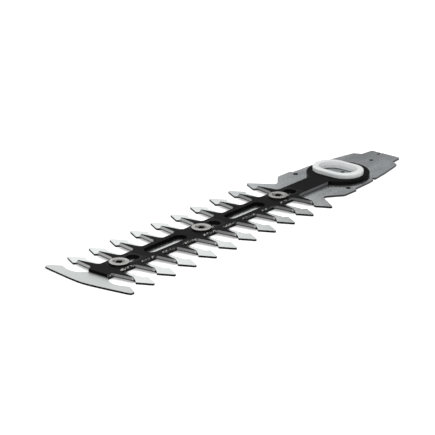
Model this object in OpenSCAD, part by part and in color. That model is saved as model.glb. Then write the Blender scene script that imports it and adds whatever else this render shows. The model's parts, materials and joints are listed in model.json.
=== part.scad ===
// Shrub-shear blade attachment: a fixed toothed guard plate with a toothed blade
// that slides along it, held down by three flange screws on guide bushes and
// driven through a moulded oblong yoke at the rear.
// Station x runs from the nose (about 0) to the tail; the plates lie flat in XY.

/* [Plates] */
// Thickness of the fixed guard plate
guard_t = 1.2; // [1:0.1:2]
// Thickness of the sliding blade
blade_t = 1.8; // [1.4:0.1:2.4]
// Running gap between the two plates
blade_gap = 0.2; // [0.1:0.05:0.3]
// Half width of both plates between the teeth
body_half_w = 7.4; // [7:0.1:8]

/* [Teeth] */
// Teeth on each side
teeth_per_side = 10; // [6:2:12]
// Distance from one tooth to the next
tooth_pitch = 18.2; // [17:0.1:20]
// Reach of the guard tooth tips from the centre line
guard_reach = 33.1; // [31:0.1:35]
// Reach of the blade tooth tips from the centre line
blade_reach = 21.9; // [20:0.1:23]
// How far the blade teeth stand ahead of the guard teeth at rest
tooth_lead = 4.5; // [3.5:0.1:5.5]
// Width of the ground bevel on the blade teeth
bevel_w = 0.9; // [0.5:0.1:1.1]

/* [Guides] */
// Free travel of the blade towards the nose
travel = 11.5; // [9:0.5:12]
// Outer diameter of each guide bush
bush_d = 7.8; // [7:0.1:8.2]
// Side clearance between a bush and its slot
slot_clear = 0.1; // [0.05:0.05:0.2]
// Diameter of each screw's flange head
screw_head_d = 11.9; // [11.4:0.1:13]
// Thread diameter of the screws
screw_d = 5.4; // [5.2:0.1:5.6]

/* [Drive] */
// Diameter of the round end of the blade
disc_d = 39.7; // [38.5:0.1:42]
// Yoke opening along the blade
yoke_slot_x = 17; // [15:0.1:18]
// Yoke opening across the blade
yoke_slot_y = 26; // [24:0.1:27]
// Height of the yoke rim above the blade
yoke_rim_h = 2.8; // [2:0.1:4]

/* [Hidden] */
$fn = 64;
eps = 0.01;

// Stations along the blade
first_tooth_x = 20.6;
function tooth_x(i) = first_tooth_x + tooth_pitch * i;
last_x = tooth_x(teeth_per_side - 1);
nose_x = -3.75;
tail_x = last_x + 100.8;
mid_x = (nose_x + tail_x) / 2;
disc_x = last_x + 49.8;
screw_step = tooth_pitch * (teeth_per_side - 2) / 2;
function screw_x(i) = first_tooth_x + 7.45 + screw_step * i;

// Heights above the guard's underside
blade_z = guard_t + blade_gap;
blade_top = blade_z + blade_t;

// Guard plate outline
nose_slope = 0.17;          // sweep-back of the nose's front edge
nose_round = 6;             // how gently its point is rounded
nose_steps = 8;
nose_half_w = guard_reach - 0.3;
nose_tip = [3.0, 30.4];     // where the nose's front edge ends and its corner begins
nose_barb = [8.3, 25.6];
nose_neck = [[6.4, 21.5], [3.2, 13.0]];
nose_root_x = 10.4;
neck_steps = 6;
stem_half_w = 3.2;
stem_end_y = guard_reach - 11.4;
barb_half_w = 5.4;
barb_y = guard_reach - 9.3;
hole_half_span = 20.6;      // locating holes, either side of the centre line
locating_r = 1.7;
drive_hole_r = 1.5;
tail_hole_r = 1.3;
tail_slit = [4.6, 1.0];     // depth and width of the key slit in the tail
tail_slit_y = 3.5;

// Blade outline
blade_front_x = 10.3;
tooth_root_w = 3.2;         // half width of a blade tooth where its root round ends
tooth_root_r = 2.2;
tooth_tip_w = 1.3;
root_steps = 5;
slot_w = bush_d + 2 * slot_clear;
slot_lead = 0.15;           // spare length of a guide slot ahead of its bush
relief_w = 8.4;             // long lightening slots
relief_lead = 30.7;         // from the first tooth to the first slot's front end
relief_len = 34.2;
tooth_embed = 1.0;          // overlap of each tooth with the blade's body
blade_lead = tooth_lead - 0.2;

// Guide stack, from the bush up: washer, coned spring, screw head
bush_stand = 0.06;          // bush top above the blade's top face
spigot_r = 3.5;
washer_t = 0.2;
washer_r = 5.9;
spring_t = 0.18;
spring_rise = 0.06;
spring_r = 5.5;
flange_t = 0.5;
flange_edge = 0.12;
crown_r = 4.5;              // raised ring round the socket's dish
crown_h = 0.15;
dish_r = 3.9;
dish_floor_r = 3.1;
dish_depth = 0.45;
socket_r = 1.75;            // six-lobed socket: lobe circle and lobe radius
socket_lobe_r = 0.6;
socket_depth = 1.9;
thread_clear = 0.05;
bush_top = blade_top + bush_stand;
washer_top = bush_top + washer_t;
spring_top = washer_top + spring_t + spring_rise;

// Drive yoke
yoke_r = 11.6;              // outer end radius of the rim
yoke_half_gap = 5.5;        // from the yoke's centre to an end's centre
yoke_skirt_in = 1.5;        // step from the rim in to the part held in the blade
yoke_edge_r = 0.7;
yoke_foot_gap = 0.1;        // foot of the yoke above the blade's underside

function unit(v) = v / norm(v);

// Round one corner q of a path, between the points p and s
function corner(p, q, s, r) =
    let (u = unit(p - q), w = unit(s - q), half = acos(u * w) / 2,
         c = q + unit(u + w) * r / sin(half),
         a = q + u * r / tan(half) - c, b = q + w * r / tan(half) - c,
         a0 = atan2(a.y, a.x), turn = atan2(a.x * b.y - a.y * b.x, a * b),
         n = max(2, ceil(abs(turn) / 24)))
    [for (i = [0:n]) c + r * [cos(a0 + turn * i / n), sin(a0 + turn * i / n)]];

// A path of [x, y, r] points with each corner rounded to its r
function rounded(path) = [for (i = [0:len(path) - 1])
    let (q = [path[i].x, path[i].y], r = path[i][2])
    each (r == 0 || i == 0 || i == len(path) - 1 ? [q]
        : corner([path[i - 1].x, path[i - 1].y], q, [path[i + 1].x, path[i + 1].y], r))];

// A half outline joined to its mirror image across the centre line
function both_sides(half) =
    concat(half, [for (i = [len(half) - 1:-1:0]) [half[i].x, -half[i].y]]);

function bezier(p0, p1, p2, n) = [for (i = [0:n]) let (t = i / n)
    (1 - t) * (1 - t) * p0 + 2 * t * (1 - t) * p1 + t * t * p2];

function with_r(points, r) = [for (p = points) [p.x, p.y, r]];

// Moves a module from its station on the blade to the part's own frame
module at_station(x = 0) {
    translate([x - mid_x, 0, 0]) children();
}

// ---- Guard plate -----------------------------------------------------------

function nose_path() = concat(
    [for (i = [0:nose_steps]) let (y = nose_tip.y * i / nose_steps)
        [nose_x + nose_slope * (sqrt(y * y + nose_round * nose_round) - nose_round), y, 0]],
    [[1.2, nose_half_w, 1.2], [nose_tip.x + 0.9, nose_half_w, 0.6],
     [nose_barb.x, nose_barb.y, 0.8]],
    with_r(bezier(nose_neck[0], nose_neck[1], [nose_root_x, body_half_w], neck_steps), 0));

function guard_tooth_front(c) = [
    [c - stem_half_w, body_half_w, 1.6], [c - stem_half_w, stem_end_y, 0.6],
    [c - barb_half_w, barb_y, 0.5]];

function guard_tooth_back(c) = [
    [c + barb_half_w, barb_y, 0.5], [c + stem_half_w, stem_end_y, 0.6],
    [c + stem_half_w, body_half_w, 1.6]];

// Rear of the plate, behind the last tooth, out to the tail
function rear_path() = let (x = last_x) [
    [x + 10.7, 17.3, 3.0], [x + 22.1, 26.2, 1.5], [x + 34, 26.2, 0.4],
    [x + 35.2, 24.3, 0.5], [x + 50.6, 23.7, 8], [x + 56.0, 22.9, 0.3],
    [x + 56.4, 21.2, 0.3], [x + 58.4, 20.9, 0.3], [x + 58.8, 22.5, 0.3],
    [x + 72.6, 20.5, 6], [x + 88.9, 17.2, 1.5], [x + 91.3, 12.1, 1.2],
    [tail_x - 0.2, 11.0, 1.2], [tail_x, 0, 0]];

function guard_half() = rounded(concat(
    nose_path(),
    [for (i = [0:teeth_per_side - 1]) let (c = tooth_x(i)) each concat(
        guard_tooth_front(c), [[c, guard_reach + 0.9, 1.0]],
        i < teeth_per_side - 1 ? guard_tooth_back(c) : [])],
    rear_path()));

module guard_plate() {
    color("silver") at_station() difference() {
        linear_extrude(guard_t) polygon(both_sides(guard_half()));
        for (i = [0:2])
            guard_hole(screw_x(i), 0, spigot_r);
        for (side = [-1, 1])
            guard_hole(last_x + 33.1, side * hole_half_span, locating_r);
        guard_hole(last_x + 54.8, 0, drive_hole_r);
        guard_hole(last_x + 85.1, 0, tail_hole_r);
        translate([tail_x, tail_slit_y, -eps]) {
            translate([-tail_slit.x, -tail_slit.y / 2, 0])
                cube([tail_slit.x + 1, tail_slit.y, guard_t + 2 * eps]);
            translate([-tail_slit.x, 0, 0])
                cylinder(d = tail_slit.y, h = guard_t + 2 * eps);
        }
    }
}

module guard_hole(x, y, r) {
    translate([x, y, -eps]) cylinder(r = r, h = guard_t + 2 * eps);
}

// ---- Moving blade ----------------------------------------------------------

// One side of a blade tooth at one height, as [distance from the tooth's middle,
// distance from the centre line]. inset is 0 at the cutting edge below and
// bevel_w at the top face, so the flanks between the two are the ground bevels.
function tooth_side(inset) =
    let (w = tooth_root_w - inset, r = tooth_root_r + inset,
         tip = tooth_tip_w - inset * 0.95, y = blade_reach - inset, nib = tip * 0.6)
    concat([[w + r, body_half_w - tooth_embed]],
        [for (i = [0:root_steps]) let (a = 270 - 90 * i / root_steps)
            [w + r + r * cos(a), body_half_w + r + r * sin(a)]],
        [[tip, y - nib], [tip - nib * 0.7, y]]);

// A blade tooth between its cutting outline and its top outline, in four rows
// of points (left and right, below and above) that run from root to tip
module blade_tooth() {
    low = tooth_side(0);
    high = tooth_side(bevel_w);
    n = len(low);
    rows = [[-1, low, blade_z], [1, low, blade_z], [-1, high, blade_top], [1, high, blade_top]];
    function strip(a, b) = [for (j = [0:n - 2]) each
        [[a * n + j, a * n + j + 1, b * n + j + 1], [a * n + j, b * n + j + 1, b * n + j]]];
    polyhedron(
        points = [for (row = rows) for (p = row[1]) [row[0] * p.x, p.y, row[2]]],
        faces = concat(strip(1, 0), strip(2, 3), strip(0, 2), strip(3, 1),
            [[0, n, 3 * n], [0, 3 * n, 2 * n],
             [n - 1, 4 * n - 1, 2 * n - 1], [n - 1, 3 * n - 1, 4 * n - 1]]));
}

// A straight slot with round ends, cut through the blade from x0 to x1
module blade_slot(x0, x1, w) {
    translate([0, 0, blade_z - eps]) {
        translate([x0 + w / 2, -w / 2, 0])
            cube([x1 - x0 - w, w, blade_t + 2 * eps]);
        for (x = [x0 + w / 2, x1 - w / 2])
            translate([x, 0, 0]) cylinder(d = w, h = blade_t + 2 * eps);
    }
}

module moving_blade() {
    color([0.16, 0.15, 0.155]) at_station() difference() {
        union() {
            translate([blade_front_x, -body_half_w, blade_z])
                cube([disc_x - blade_front_x, 2 * body_half_w, blade_t]);
            for (i = [0:teeth_per_side - 1], side = [0, 1])
                translate([tooth_x(i) - blade_lead, 0, 0])
                    mirror([0, side, 0]) blade_tooth();
            translate([disc_x, 0, blade_z]) {
                cylinder(d = disc_d, h = blade_t - 0.3);
                translate([0, 0, blade_t - 0.3])
                    cylinder(d1 = disc_d, d2 = disc_d - 0.6, h = 0.3);
            }
        }
        for (i = [0:2])
            blade_slot(screw_x(i) - slot_w / 2 - slot_lead,
                       screw_x(i) + travel + slot_lead + slot_w / 2, slot_w);
        for (i = [0:1])
            blade_slot(first_tooth_x + relief_lead + screw_step * i,
                       first_tooth_x + relief_lead + relief_len + screw_step * i, relief_w);
        translate([disc_x, 0, 0])
            oblong(yoke_r - yoke_skirt_in, yoke_half_gap, blade_z - eps, blade_top + eps, 0);
    }
}

// ---- Drive yoke ------------------------------------------------------------

// An upright oblong block, long way across the blade, its top edge rounded to e
module oblong(r, half_gap, z0, z1, e) {
    edge = concat([[r, z0]],
        e == 0 ? [[r, z1]] : [for (a = [0:15:90]) [r - e + e * cos(a), z1 - e + e * sin(a)]]);
    for (side = [-1, 1])
        translate([0, side * half_gap, 0])
            rotate_extrude() polygon(concat([[0, z0]], edge, [[0, z1]]));
    translate([0, half_gap, 0]) rotate([90, 0, 0])
        linear_extrude(2 * half_gap)
            polygon(concat(edge, [for (i = [len(edge) - 1:-1:0]) [-edge[i].x, edge[i].y]]));
}

module drive_yoke() {
    color("white") at_station(disc_x) difference() {
        union() {
            oblong(yoke_r, yoke_half_gap, blade_top, blade_top + yoke_rim_h, yoke_edge_r);
            oblong(yoke_r - yoke_skirt_in, yoke_half_gap, blade_z + yoke_foot_gap, blade_top + eps, 0);
        }
        oblong(yoke_slot_x / 2, (yoke_slot_y - yoke_slot_x) / 2,
               blade_z - eps, blade_top + yoke_rim_h + eps, 0);
    }
}

// ---- Guide stations --------------------------------------------------------

// Shouldered bush: its spigot is pressed into the guard plate, flush below
module guide_bush(x) {
    color([0.55, 0.55, 0.57]) at_station(x) difference() {
        union() {
            cylinder(r = spigot_r, h = guard_t + eps);
            translate([0, 0, guard_t]) cylinder(d = bush_d, h = bush_top - guard_t);
        }
        translate([0, 0, -eps])
            cylinder(r = screw_d / 2 + thread_clear, h = bush_top + 2 * eps);
    }
}

module slide_washer(x) {
    color([0.08, 0.08, 0.08]) at_station(x) translate([0, 0, bush_top]) difference() {
        cylinder(r = washer_r, h = washer_t);
        translate([0, 0, -eps])
            cylinder(r = screw_d / 2 + 0.15, h = washer_t + 2 * eps);
    }
}

// Coned spring washer, wide edge down
module disc_spring(x) {
    inner_r = screw_d / 2 + 0.2;
    color([0.1, 0.1, 0.1]) at_station(x) translate([0, 0, washer_top])
        rotate_extrude() polygon([[spring_r, 0], [spring_r, spring_t],
            [inner_r, spring_t + spring_rise], [inner_r, spring_rise]]);
}

// Flange screw with a dished, slightly raised crown and a six-lobed socket
module clamp_screw(x) {
    head_r = screw_head_d / 2;
    top = flange_t + crown_h;
    color([0.68, 0.67, 0.65]) at_station(x) translate([0, 0, spring_top]) difference() {
        union() {
            rotate_extrude() polygon([[0, 0], [head_r - flange_edge, 0], [head_r, flange_edge],
                [head_r, flange_t - flange_edge], [head_r - flange_edge, flange_t],
                [crown_r + crown_h, flange_t], [crown_r, top], [dish_r, top],
                [dish_floor_r, top - dish_depth], [0, top - dish_depth]]);
            translate([0, 0, -spring_top + 0.1]) cylinder(d = screw_d, h = spring_top);
        }
        translate([0, 0, top - socket_depth]) {
            cylinder(r = socket_r, h = socket_depth + eps);
            for (a = [0:60:300])
                rotate(a) translate([socket_r, 0, 0])
                    cylinder(r = socket_lobe_r, h = socket_depth + eps, $fn = 24);
        }
    }
}

guard_plate();
moving_blade();
drive_yoke();
guide_bush(screw_x(0));  // guide_bush_front
guide_bush(screw_x(1));  // guide_bush_middle
guide_bush(screw_x(2));  // guide_bush_rear
slide_washer(screw_x(0));  // slide_washer_front
slide_washer(screw_x(1));  // slide_washer_middle
slide_washer(screw_x(2));  // slide_washer_rear
disc_spring(screw_x(0));  // disc_spring_front
disc_spring(screw_x(1));  // disc_spring_middle
disc_spring(screw_x(2));  // disc_spring_rear
clamp_screw(screw_x(0));  // clamp_screw_front
clamp_screw(screw_x(1));  // clamp_screw_middle
clamp_screw(screw_x(2));  // clamp_screw_rear
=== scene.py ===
"""Looks for a shrub-shear blade attachment: ground steel guard plate, black coated
moving blade with bare ground teeth, white moulded drive yoke and three guide stacks."""
import json
import math

import bmesh
import bpy
from mathutils import Matrix, Vector


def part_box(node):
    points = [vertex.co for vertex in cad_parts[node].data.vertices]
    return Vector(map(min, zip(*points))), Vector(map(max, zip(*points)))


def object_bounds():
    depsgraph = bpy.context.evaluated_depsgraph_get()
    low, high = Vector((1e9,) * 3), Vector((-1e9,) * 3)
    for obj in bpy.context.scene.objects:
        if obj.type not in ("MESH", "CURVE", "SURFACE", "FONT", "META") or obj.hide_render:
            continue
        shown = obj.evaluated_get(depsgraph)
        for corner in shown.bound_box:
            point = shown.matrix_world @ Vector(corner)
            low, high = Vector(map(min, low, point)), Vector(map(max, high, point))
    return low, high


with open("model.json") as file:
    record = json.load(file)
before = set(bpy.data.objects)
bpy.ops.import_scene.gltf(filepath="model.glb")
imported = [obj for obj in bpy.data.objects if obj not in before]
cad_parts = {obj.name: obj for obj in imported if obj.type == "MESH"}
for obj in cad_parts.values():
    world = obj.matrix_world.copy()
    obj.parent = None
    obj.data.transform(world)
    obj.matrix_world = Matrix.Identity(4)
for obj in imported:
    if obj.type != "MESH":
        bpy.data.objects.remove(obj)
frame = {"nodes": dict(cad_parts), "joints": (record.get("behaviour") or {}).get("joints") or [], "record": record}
cad_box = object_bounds()

MM = 0.001
STATIONS = ("front", "middle", "rear")


def centre(node):
    """Middle of a CAD node's box, in metres."""
    low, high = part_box(node)
    return (low + high) / 2


# ---- Places taken from the frame, in millimetres along the blade --------------------

guard_low, guard_high = (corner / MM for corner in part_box("guard_plate"))
blade_low, blade_high = (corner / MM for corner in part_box("moving_blade"))
yoke_low, yoke_high = (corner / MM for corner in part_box("drive_yoke"))
screw_x = [centre(f"clamp_screw_{name}").x / MM for name in STATIONS]
screw_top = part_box("clamp_screw_front")[1].z / MM
travel = frame["joints"][0]["range_m"][1] / MM
teeth_end = screw_x[2] + 12      # behind this the blade is the plain arm and its disc
body_half = 7.4                  # half width of the blade between its teeth
mounts = {row["name"]: row for row in frame["record"]["mounts"]}
pattern = mounts["locating_holes"]
HOLES = [(pattern["pos_m"][0] / MM, side * pattern["dims"]["spacing_y_mm"] / 2)
         for side in (-1, 1)]
HOLES += [(mounts[name]["pos_m"][0] / MM, 0) for name in ("drive_hole", "tail_hole")]


# ---- A small builder for node materials ---------------------------------------------

class Graph:
    """One node material. Its methods add nodes, and most return an output socket."""

    def __init__(self, name, colour, metallic, roughness, specular=0.5):
        self.material = bpy.data.materials.new(name)
        self.material.use_nodes = True
        tree = self.material.node_tree
        tree.nodes.clear()
        self.tree = tree
        self.shader = self.add("ShaderNodeBsdfPrincipled")
        out = self.add("ShaderNodeOutputMaterial")
        tree.links.new(self.shader.outputs["BSDF"], out.inputs["Surface"])
        self.put(self.shader.inputs["Base Color"], (*colour, 1.0))
        self.put(self.shader.inputs["Metallic"], metallic)
        self.put(self.shader.inputs["Roughness"], roughness)
        self.put(self.shader.inputs["Specular IOR Level"], specular)
        self.place = self.add("ShaderNodeTexCoord")

    def add(self, kind, **settings):
        node = self.tree.nodes.new(kind)
        for key, value in settings.items():
            setattr(node, key, value)
        return node

    def put(self, socket, value):
        if isinstance(value, bpy.types.NodeSocket):
            self.tree.links.new(value, socket)
        else:
            socket.default_value = value

    def set(self, name, value):
        self.put(self.shader.inputs[name], value)

    def math(self, operation, a, b=0.0, c=0.0):
        node = self.add("ShaderNodeMath", operation=operation)
        for socket, value in zip(node.inputs, (a, b, c)):
            self.put(socket, value)
        return node.outputs[0]

    def millimetres(self, scale=(1, 1, 1), offset=(0, 0, 0)):
        """Object coordinates in millimetres, moved by offset, then scaled."""
        node = self.add("ShaderNodeMapping", vector_type="POINT")
        self.put(node.inputs["Vector"], self.place.outputs["Object"])
        self.put(node.inputs["Scale"], tuple(s / MM for s in scale))
        self.put(node.inputs["Location"], tuple(s * o for s, o in zip(scale, offset)))
        return node.outputs[0]

    def axes(self, vector):
        node = self.add("ShaderNodeSeparateXYZ")
        self.put(node.inputs[0], vector)
        return node.outputs

    def distance(self, axes):
        """Distance from the Z axis of some axes."""
        x, y, _ = axes
        return self.math("SQRT", self.math("ADD", self.math("MULTIPLY", x, x),
                                           self.math("MULTIPLY", y, y)))

    def upward(self):
        """How far the surface faces up: 1 on a top face, 0 on a wall, -1 below."""
        return self.axes(self.place.outputs["Normal"])["Z"]

    def noise(self, scale, detail=3.0, rough=0.55, offset=(0, 0, 0), distortion=0.0):
        """Noise with scale features a millimetre along X, Y and Z."""
        node = self.add("ShaderNodeTexNoise")
        self.put(node.inputs["Vector"], self.millimetres(scale, offset))
        self.put(node.inputs["Scale"], 1.0)
        self.put(node.inputs["Detail"], detail)
        self.put(node.inputs["Roughness"], rough)
        self.put(node.inputs["Distortion"], distortion)
        return node.outputs[0]

    def ramp(self, value, start, end, low=0.0, high=1.0):
        """Smooth change from low to high as value goes from start to end."""
        node = self.add("ShaderNodeMapRange", interpolation_type="SMOOTHSTEP")
        for name, item in (("Value", value), ("From Min", start), ("From Max", end),
                           ("To Min", low), ("To Max", high)):
            self.put(node.inputs[name], item)
        return node.outputs[0]

    def band(self, value, start, end, soft):
        """1 between start and end, fading to 0 over soft on either side."""
        rise = self.ramp(value, start - soft, start)
        fall = self.ramp(value, end, end + soft, 1.0, 0.0)
        return self.math("MULTIPLY", rise, fall)

    def mix(self, factor, a, b):
        node = self.add("ShaderNodeMix", data_type="RGBA")
        for index, value in ((0, factor), (6, a), (7, b)):
            if not isinstance(value, bpy.types.NodeSocket) and index != 0:
                value = (*value, 1.0)
            self.put(node.inputs[index], value)
        return node.outputs[2]

    def blend(self, factor, a, b):
        node = self.add("ShaderNodeMix", data_type="FLOAT")
        for index, value in ((0, factor), (2, a), (3, b)):
            self.put(node.inputs[index], value)
        return node.outputs[0]

    def tint(self, colour, amount):
        """A colour made lighter or darker by a factor."""
        node = self.add("ShaderNodeVectorMath", operation="SCALE")
        self.put(node.inputs[0], colour)
        self.put(node.inputs["Scale"], amount)
        return node.outputs[0]

    def bump(self, height, depth_mm):
        """Sets the shader's normal from a height that stands for depth_mm."""
        node = self.add("ShaderNodeBump")
        self.put(node.inputs["Strength"], 1.0)
        self.put(node.inputs["Distance"], depth_mm * MM)
        self.put(node.inputs["Height"], height)
        self.set("Normal", node.outputs[0])


# ---- Materials ----------------------------------------------------------------------

def guard_steel():
    """Sheet steel, ground lengthwise, with dark sheared edges. The grey of its top face
    changes from the nose to the teeth and from the teeth to the tail, a painted reflection
    of the room light. Hole and slit walls are painted black as painted shade, and the walls
    and the rear plate are made lighter or darker towards the tail as painted light."""
    # Painted reflection: these top-face greys for the nose middle, the teeth and the tail stand in for the room
    # light the steel mirrors.
    nose_reflection_grey, teeth_reflection_grey, tail_reflection_grey = (0.56, 0.58, 0.57), (0.59, 0.6, 0.595), (0.49, 0.505, 0.515)
    # Wall colours: near black for the sheared edges and, as painted shade, in the holes and the slit; the lighter
    # one is painted light towards the tail.
    dark_edge_and_hole_shade, plain_edge = (0.003, 0.003, 0.003), (0.06, 0.06, 0.063)
    hole_reach = (2.0, 2.4)          # a hole's wall lies inside this distance from its axis
    slit_y = (2.8, 4.2)              # the key slit in the tail
    slit_x = guard_high.x - 6        # just ahead of the slit's closed end
    nose_back = guard_low.x + 12     # about where the nose bar ends
    # Painted light: factors that make the rear plate lighter or darker, far side and near side.
    far_rear_painted_light, near_rear_painted_light = (0.85, 1.03), (1.08, 1.35)     # from the teeth to the tail
    g = Graph("guard_steel", (0.62, 0.63, 0.62), 1.0, 0.3, 0.1)
    x, y, _ = g.axes(g.millimetres())
    steep = g.math("ABSOLUTE", g.upward())
    grain = g.noise((0.05, 5.0, 2.0), detail=5, rough=0.7)
    patches = g.noise((0.05, 0.11, 0.1), detail=4, offset=(7, 3, 0), distortion=0.6)
    shear = g.noise((5.0, 5.0, 0.5), detail=3)
    slanted = g.math("MULTIPLY_ADD", y, 0.8, x)
    to_tail = g.ramp(slanted, screw_x[2] - 15, screw_x[2] + 35)

    # Painted shade: the walls of the holes and the key slit are painted black.
    in_hole = 0.0
    for hole_x, hole_y in HOLES:
        across = g.axes(g.millimetres(offset=(-hole_x, -hole_y, 0)))
        in_hole = g.math("MAXIMUM", in_hole, g.ramp(g.distance(across), *hole_reach, 1.0, 0.0))
    in_slit = g.math("MULTIPLY", g.band(y, *slit_y, 0.2), g.ramp(x, slit_x, slit_x + 0.5))
    hole_and_slit_shade = g.math("MAXIMUM", in_hole, in_slit)

    shade = g.math("ADD", 0.84, g.math("MULTIPLY", patches, 0.2))
    shade = g.math("ADD", shade, g.math("MULTIPLY", grain, 0.12))
    # Painted reflection: the middle of the nose gets its own grey.
    on_nose = g.math("MULTIPLY", g.ramp(x, nose_back, nose_back + 4, 1.0, 0.0),
                     g.band(y, -10, 14, 10))
    face = g.mix(on_nose, g.mix(to_tail, teeth_reflection_grey, tail_reflection_grey), nose_reflection_grey)
    # Painted light: the rear plate's grey is raised or lowered towards the tail.
    far_rear = g.ramp(x, screw_x[2] + 25, guard_high.x - 45, *far_rear_painted_light)
    near_rear = g.ramp(x, screw_x[2] + 35, guard_high.x - 8, *near_rear_painted_light)
    rear_painted_light = g.blend(g.ramp(y, -14, 10), near_rear, far_rear)
    face = g.tint(face, g.math("MULTIPLY", shade, g.blend(to_tail, 1.0, rear_painted_light)))
    # Walls are painted lighter towards the tail as painted light, and black in the holes and the slit as painted
    # shade.
    edge = g.mix(g.math("MULTIPLY", to_tail, g.math("SUBTRACT", 1.0, hole_and_slit_shade)),
                 dark_edge_and_hole_shade, plain_edge)
    wall = g.tint(edge, g.math("ADD", 0.5, shear))
    is_wall = g.ramp(steep, 0.25, 0.45, 1.0, 0.0)
    g.set("Base Color", g.mix(is_wall, face, wall))

    worn = g.ramp(x, blade_low.x - 2, blade_low.x + 8, 0.3, 0.0)
    face_rough = g.math("ADD", g.math("ADD", g.ramp(patches, 0.3, 0.75, 0.17, 0.24), worn),
                        g.math("MULTIPLY", grain, 0.06))
    g.set("Roughness", g.blend(is_wall, face_rough, g.ramp(shear, 0.3, 0.7, 0.4, 0.6)))
    g.set("Metallic", g.ramp(is_wall, 0.4, 0.6, 1.0, 0.0))
    g.bump(g.math("MULTIPLY", is_wall, shear), 0.0012)
    return g.material


def blade_coat():
    """Black low-friction coat, burnished where the washers slide, over a blade whose
    tooth flanks and underside are bare ground steel. At the tooth roots the bare steel
    carries dark blotches and bright specks, a painted broken reflection."""
    fresh_coat, rubbed_coat = (0.0032, 0.0028, 0.003), (0.011, 0.01, 0.01)
    disc_edge, arm_edge = (0.012, 0.011, 0.011), (0.3, 0.3, 0.305)
    # Painted reflection: the bare steel is lighter at the front and darker towards the tail.
    front_lit_steel, rear_shaded_steel = (0.42, 0.42, 0.41), (0.25, 0.25, 0.245)
    washer_reach = 5.5               # how far a washer rubs from its screw's axis
    arm_end = yoke_low.x - 9         # just ahead of where the arm meets the round end
    flank_darkening_top = blade_low.z + 0.65    # top of the darker strip at the bottom of the tooth flanks
    root_out = body_half + 1.4       # the painted reflection specks at the roots fade out from here
    g = Graph("blade_coat", (0.02, 0.019, 0.02), 0.0, 0.5, 0.03)
    x, y, z = g.axes(g.millimetres())
    up = g.upward()
    peel = g.noise((1.6, 1.6, 1.6), detail=4, rough=0.6)
    drift = g.noise((0.06, 0.1, 0.1), detail=3)
    scuffs = g.noise((0.25, 6.0, 3.0), detail=5, rough=0.7)
    grind = g.noise((0.6, 9.0, 0.6), detail=4, rough=0.65)

    rubbed = 0.0
    for middle in screw_x:
        along = g.band(x, middle - washer_reach, middle + travel + washer_reach, 0.8)
        rubbed = g.math("ADD", rubbed, along)
    rubbed = g.math("MULTIPLY", rubbed, g.band(g.math("ABSOLUTE", y), -1, 5.6, 0.6))
    rubbed = g.math("MULTIPLY", rubbed, g.ramp(scuffs, 0.4, 0.6))

    outside = g.ramp(g.math("ABSOLUTE", y), body_half - 0.3, body_half - 0.1)
    wall = g.math("MULTIPLY", outside, g.ramp(up, 0.6, 0.7, 1.0, 0.0))
    toothed = g.band(x, blade_low.x + 0.3, teeth_end, 0.2)
    bare = g.math("MAXIMUM", g.math("MULTIPLY", wall, toothed), g.ramp(up, -0.6, -0.5, 1.0, 0.0))

    coat = g.tint(g.mix(rubbed, fresh_coat, rubbed_coat),
                  g.math("ADD", 0.7, g.math("MULTIPLY", drift, 0.6)))
    on_arm = g.ramp(x, arm_end, arm_end + 1, 1.0, 0.0)
    coat = g.mix(wall, coat, g.mix(on_arm, disc_edge, arm_edge))
    # Painted reflection: bare steel lighter at the front, darker towards the tail.
    steel = g.mix(g.ramp(x, screw_x[1], teeth_end), front_lit_steel, rear_shaded_steel)
    steel = g.tint(steel, g.math("ADD", 0.75, g.math("MULTIPLY", grind, 0.5)))
    # The bare steel is darker towards the bottom edge of the flanks.
    steel = g.tint(steel, g.ramp(z, blade_low.z + 0.4, flank_darkening_top, 0.2, 1.0))
    # Painted reflection: dark blotches and bright specks on the bare steel at the tooth roots.
    root_reflection_specks = g.ramp(g.noise((0.9, 0.9, 0.9), detail=1), 0.5, 0.62, 0.12, 1.1)
    at_root = g.ramp(g.math("ABSOLUTE", y), root_out, root_out + 1.2, 1.0, 0.0)
    steel = g.tint(steel, g.blend(at_root, 1.0, root_reflection_specks))
    g.set("Base Color", g.mix(bare, coat, steel))
    g.set("Metallic", g.math("MAXIMUM", wall, bare))
    coat_rough = g.blend(rubbed, g.ramp(peel, 0.3, 0.7, 0.46, 0.58), 0.36)
    g.set("Roughness", g.blend(bare, coat_rough, g.ramp(grind, 0.3, 0.7, 0.26, 0.4)))
    g.bump(g.blend(bare, peel, grind), 0.006)
    return g.material


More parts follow.
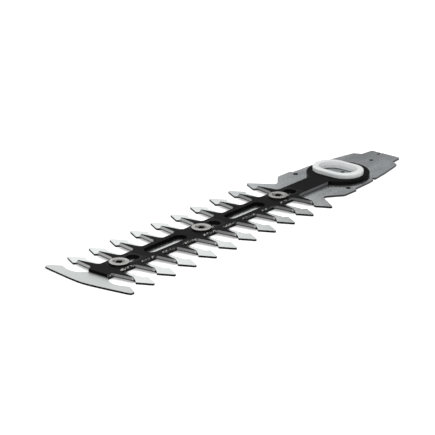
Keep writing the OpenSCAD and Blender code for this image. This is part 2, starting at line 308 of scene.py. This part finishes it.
def yoke_plastic():
    """White moulded plastic with a fine mould texture and faint flow marks. Its inner wall
    is painted lighter as painted light, and it is painted darker at its foot as painted shade."""
    outer_white, inner_painted_light_white, foot_shade_grey = (0.74, 0.76, 0.745), (0.93, 0.94, 0.93), (0.45, 0.46, 0.45)
    opening_x, opening_y = 8.7, 13.2     # half lengths just past the opening's walls
    g = Graph("yoke_plastic", outer_white, 0.0, 0.34, 0.5)
    spark = g.noise((2.4, 2.4, 2.4), detail=3)
    flow = g.noise((0.12, 0.12, 0.3), detail=3, distortion=1.2)
    x, y, z = g.axes(g.millimetres())
    middle = (yoke_low.x + yoke_high.x) / 2
    inside = g.math("MULTIPLY", g.band(x, middle - opening_x, middle + opening_x, 0.1),
                    g.band(y, -opening_y, opening_y, 0.1))
    inside = g.math("MULTIPLY", inside, g.ramp(g.upward(), 0.4, 0.6, 1.0, 0.0))
    # Painted shade: the yoke is darkened at its foot, where it meets the blade.
    foot_shade = g.ramp(z, blade_high.z, blade_high.z + 0.5, 1.0, 0.0)
    shade = g.math("ADD", 0.96, g.math("MULTIPLY", flow, 0.08))
    # Painted light: the inner wall is made lighter than the outer white.
    white_with_painted_light = g.tint(g.mix(inside, outer_white, inner_painted_light_white), shade)
    g.set("Base Color", g.mix(g.math("MULTIPLY", foot_shade, 0.35), white_with_painted_light, foot_shade_grey))
    g.set("Roughness", g.ramp(spark, 0.3, 0.7, 0.3, 0.42))
    g.set("Subsurface Weight", 0.5)
    g.set("Subsurface Radius", (2.5 * MM, 2.5 * MM, 2.3 * MM))
    g.set("Subsurface Scale", 1.0)
    g.bump(spark, 0.006)
    return g.material


def turned_metal(name, middle, colour, roughness, recess_z=None):
    """Metal with fine turning rings round an axis at middle, plated or bare. Below
    recess_z, inside the socket, it is painted near black as painted shade, the dish is
    painted darker towards the socket as painted shade, and the rim wall of the flange
    is painted near black as a painted reflection of the black blade."""
    ring_pitch = 0.16
    socket_reach = (2.5, 2.8)        # radii just past the socket's lobes
    dish_reach = (2.6, 3.9)          # the socket's edge and the brim of its dish
    rim_reach = (5.5, 5.7)           # radii just inside the flange's rim
    # Painted shade for the socket and painted reflection for the flange's rim wall.
    socket_shade_black, flange_wall_dark = (0.006, 0.006, 0.006), (0.008, 0.008, 0.008)
    g = Graph(name, colour, 1.0, roughness)
    axes = g.axes(g.millimetres(offset=(-middle, 0, 0)))
    z = axes["Z"]
    radius = g.distance(axes)
    speckle = g.noise((1.2, 1.2, 1.2), detail=4, rough=0.6, offset=(middle, 0, 0))
    rings = g.math("SINE", g.math("MULTIPLY", radius, 2 * math.pi / ring_pitch))
    shade = g.math("ADD", 0.8, g.math("MULTIPLY", speckle, 0.4))
    skin = g.tint(colour, shade)
    if recess_z is not None:
        # Painted shade: the socket below recess_z is painted near black.
        deep = g.ramp(z, recess_z - 0.12, recess_z, 1.0, 0.0)
        inside = g.math("MULTIPLY", deep, g.ramp(radius, *socket_reach, 1.0, 0.0))
        skin = g.mix(inside, skin, socket_shade_black)
        # Painted shade: the dish is darkened towards the socket.
        skin = g.tint(skin, g.ramp(radius, *dish_reach, 0.3, 1.0))
        # Painted reflection: the flange's rim wall is painted near black, standing in for the black blade it
        # mirrors.
        rim = g.math("MULTIPLY", g.ramp(radius, *rim_reach), g.ramp(g.upward(), 0.3, 0.5, 1.0, 0.0))
        skin = g.mix(rim, skin, flange_wall_dark)
    g.set("Base Color", skin)
    g.set("Roughness", g.ramp(speckle, 0.3, 0.7, roughness - 0.05, roughness + 0.08))
    g.bump(g.math("ADD", g.math("MULTIPLY", rings, 0.25), speckle), 0.004)
    return g.material


def blackened(name, middle):
    """Oil-blackened spring steel."""
    g = Graph(name, (0.03, 0.03, 0.03), 0.6, 0.4)
    speckle = g.noise((1.5, 1.5, 1.5), detail=4, offset=(middle, 0, 0))
    g.set("Base Color", g.tint((0.03, 0.029, 0.029),
                               g.math("ADD", 0.6, g.math("MULTIPLY", speckle, 0.8))))
    g.set("Roughness", g.ramp(speckle, 0.3, 0.7, 0.34, 0.5))
    g.bump(speckle, 0.003)
    return g.material


# ---- Dressing the CAD nodes ---------------------------------------------------------

def dress(node, material):
    """Puts one material on every slot of a CAD node."""
    mesh = frame["nodes"][node].data
    if not mesh.materials:
        mesh.materials.append(material)
    for index in range(len(mesh.materials)):
        mesh.materials[index] = material


RECESS_Z = screw_top - 0.5       # just below the floor of the dish
WARM_PLATING = (0.36, 0.348, 0.335)
BUSH_STEEL = (0.45, 0.45, 0.46)
dress("guard_plate", guard_steel())
dress("moving_blade", blade_coat())
dress("drive_yoke", yoke_plastic())
for name, middle in zip(STATIONS, screw_x):
    dress(f"clamp_screw_{name}",
          turned_metal(f"screw_plating_{name}", middle, WARM_PLATING, 0.3, RECESS_Z))
    dress(f"guide_bush_{name}",
          turned_metal(f"bush_steel_{name}", middle, BUSH_STEEL, 0.3))
    black = blackened(f"blackened_steel_{name}", middle)
    dress(f"slide_washer_{name}", black)
    dress(f"disc_spring_{name}", black)


# ---- Stage, light and camera --------------------------------------------------------

def make_floor(half=6.0):
    """A pale light table: a matt white sheet that glows a little, so shadows stay faint."""
    g = Graph("pale_floor", (0.9, 0.9, 0.9), 0.0, 0.8, 0.2)
    g.set("Emission Color", (1.0, 1.0, 1.0, 1.0))
    g.set("Emission Strength", 0.35)
    mesh = bpy.data.meshes.new("floor")
    shape = bmesh.new()
    bmesh.ops.create_grid(shape, x_segments=4, y_segments=4, size=half)
    shape.to_mesh(mesh)
    shape.free()
    floor = bpy.data.objects.new("floor", mesh)
    floor.location.z = cad_box[0].z - 0.02 * MM
    mesh.materials.append(g.material)
    bpy.context.scene.collection.objects.link(floor)


def softbox(name, place, aim, size, radiance, colour=(1, 1, 1)):
    """A rectangular soft light at place, facing aim, given by what a mirror would show."""
    data = bpy.data.lights.new(name, "AREA")
    data.shape = "RECTANGLE"
    data.size, data.size_y = size
    data.energy = radiance * math.pi * size[0] * size[1]
    data.color = colour
    lamp = bpy.data.objects.new(name, data)
    lamp.location = place
    direction = Vector(aim) - Vector(place)
    lamp.rotation_euler = direction.to_track_quat("-Z", "Y").to_euler()
    lamp.visible_camera = False
    bpy.context.scene.collection.objects.link(lamp)


CAMERA_PLACE = (-1.11496, -0.90171, 0.52582)
CAMERA_LOOK = (0.72319, 0.59828, -0.34505)
CAMERA_LENS = 210.46


def make_camera():
    """The viewing angle: from the nose end and the right, 20 degrees above the floor."""
    data = bpy.data.cameras.new("camera")
    data.sensor_width = 36
    data.lens = CAMERA_LENS
    data.clip_start = 0.05
    data.clip_end = 50
    camera = bpy.data.objects.new("camera", data)
    camera.location = CAMERA_PLACE
    look = Vector(CAMERA_LOOK).normalized()
    side = look.cross(Vector((0, 0, 1))).normalized()
    up = side.cross(look)
    camera.rotation_euler = Matrix((side, up, -look)).transposed().to_euler()
    bpy.context.scene.collection.objects.link(camera)
    bpy.context.scene.camera = camera


def make_studio():
    """Room light that rises in two linear stretches towards the far side of the nose."""
    bright_way = (-0.45, 0.89, 0)
    rises = ((-0.9, 0.1, 0.2, 0.32), (0.65, 0.97, 0.0, 0.6))     # from, to, low, high
    world = bpy.data.worlds.new("studio")
    world.use_nodes = True
    tree = world.node_tree
    place = tree.nodes.new("ShaderNodeTexCoord")
    toward = tree.nodes.new("ShaderNodeVectorMath")
    toward.operation = "DOT_PRODUCT"
    tree.links.new(place.outputs["Generated"], toward.inputs[0])
    toward.inputs[1].default_value = bright_way
    steps = []
    for start, end, low, high in rises:
        step = tree.nodes.new("ShaderNodeMapRange")
        tree.links.new(toward.outputs["Value"], step.inputs["Value"])
        for name, value in (("From Min", start), ("From Max", end),
                            ("To Min", low), ("To Max", high)):
            step.inputs[name].default_value = value
        steps.append(step)
    total = tree.nodes.new("ShaderNodeMath")
    for socket, step in zip(total.inputs, steps):
        tree.links.new(step.outputs[0], socket)
    backdrop = tree.nodes["Background"]
    backdrop.inputs["Color"].default_value = (0.96, 0.98, 1.0, 1.0)
    tree.links.new(total.outputs[0], backdrop.inputs["Strength"])
    bpy.context.scene.world = world


make_floor()
make_studio()
bpy.context.scene.view_settings.view_transform = "Standard"
softbox("overhead", (0, 0, 2.5), (0, 0, 0), (6, 6), 1.0)
softbox("far_side", (0.63, 0.9, 0.46), (0.63, 0, 0.1), (1.02, 0.55), 1.05, (0.97, 1.0, 0.98))
softbox("front_fill", (-0.8, -0.97, 0.6), (0, 0, 0), (1.2, 0.7), 1.2)
make_camera()
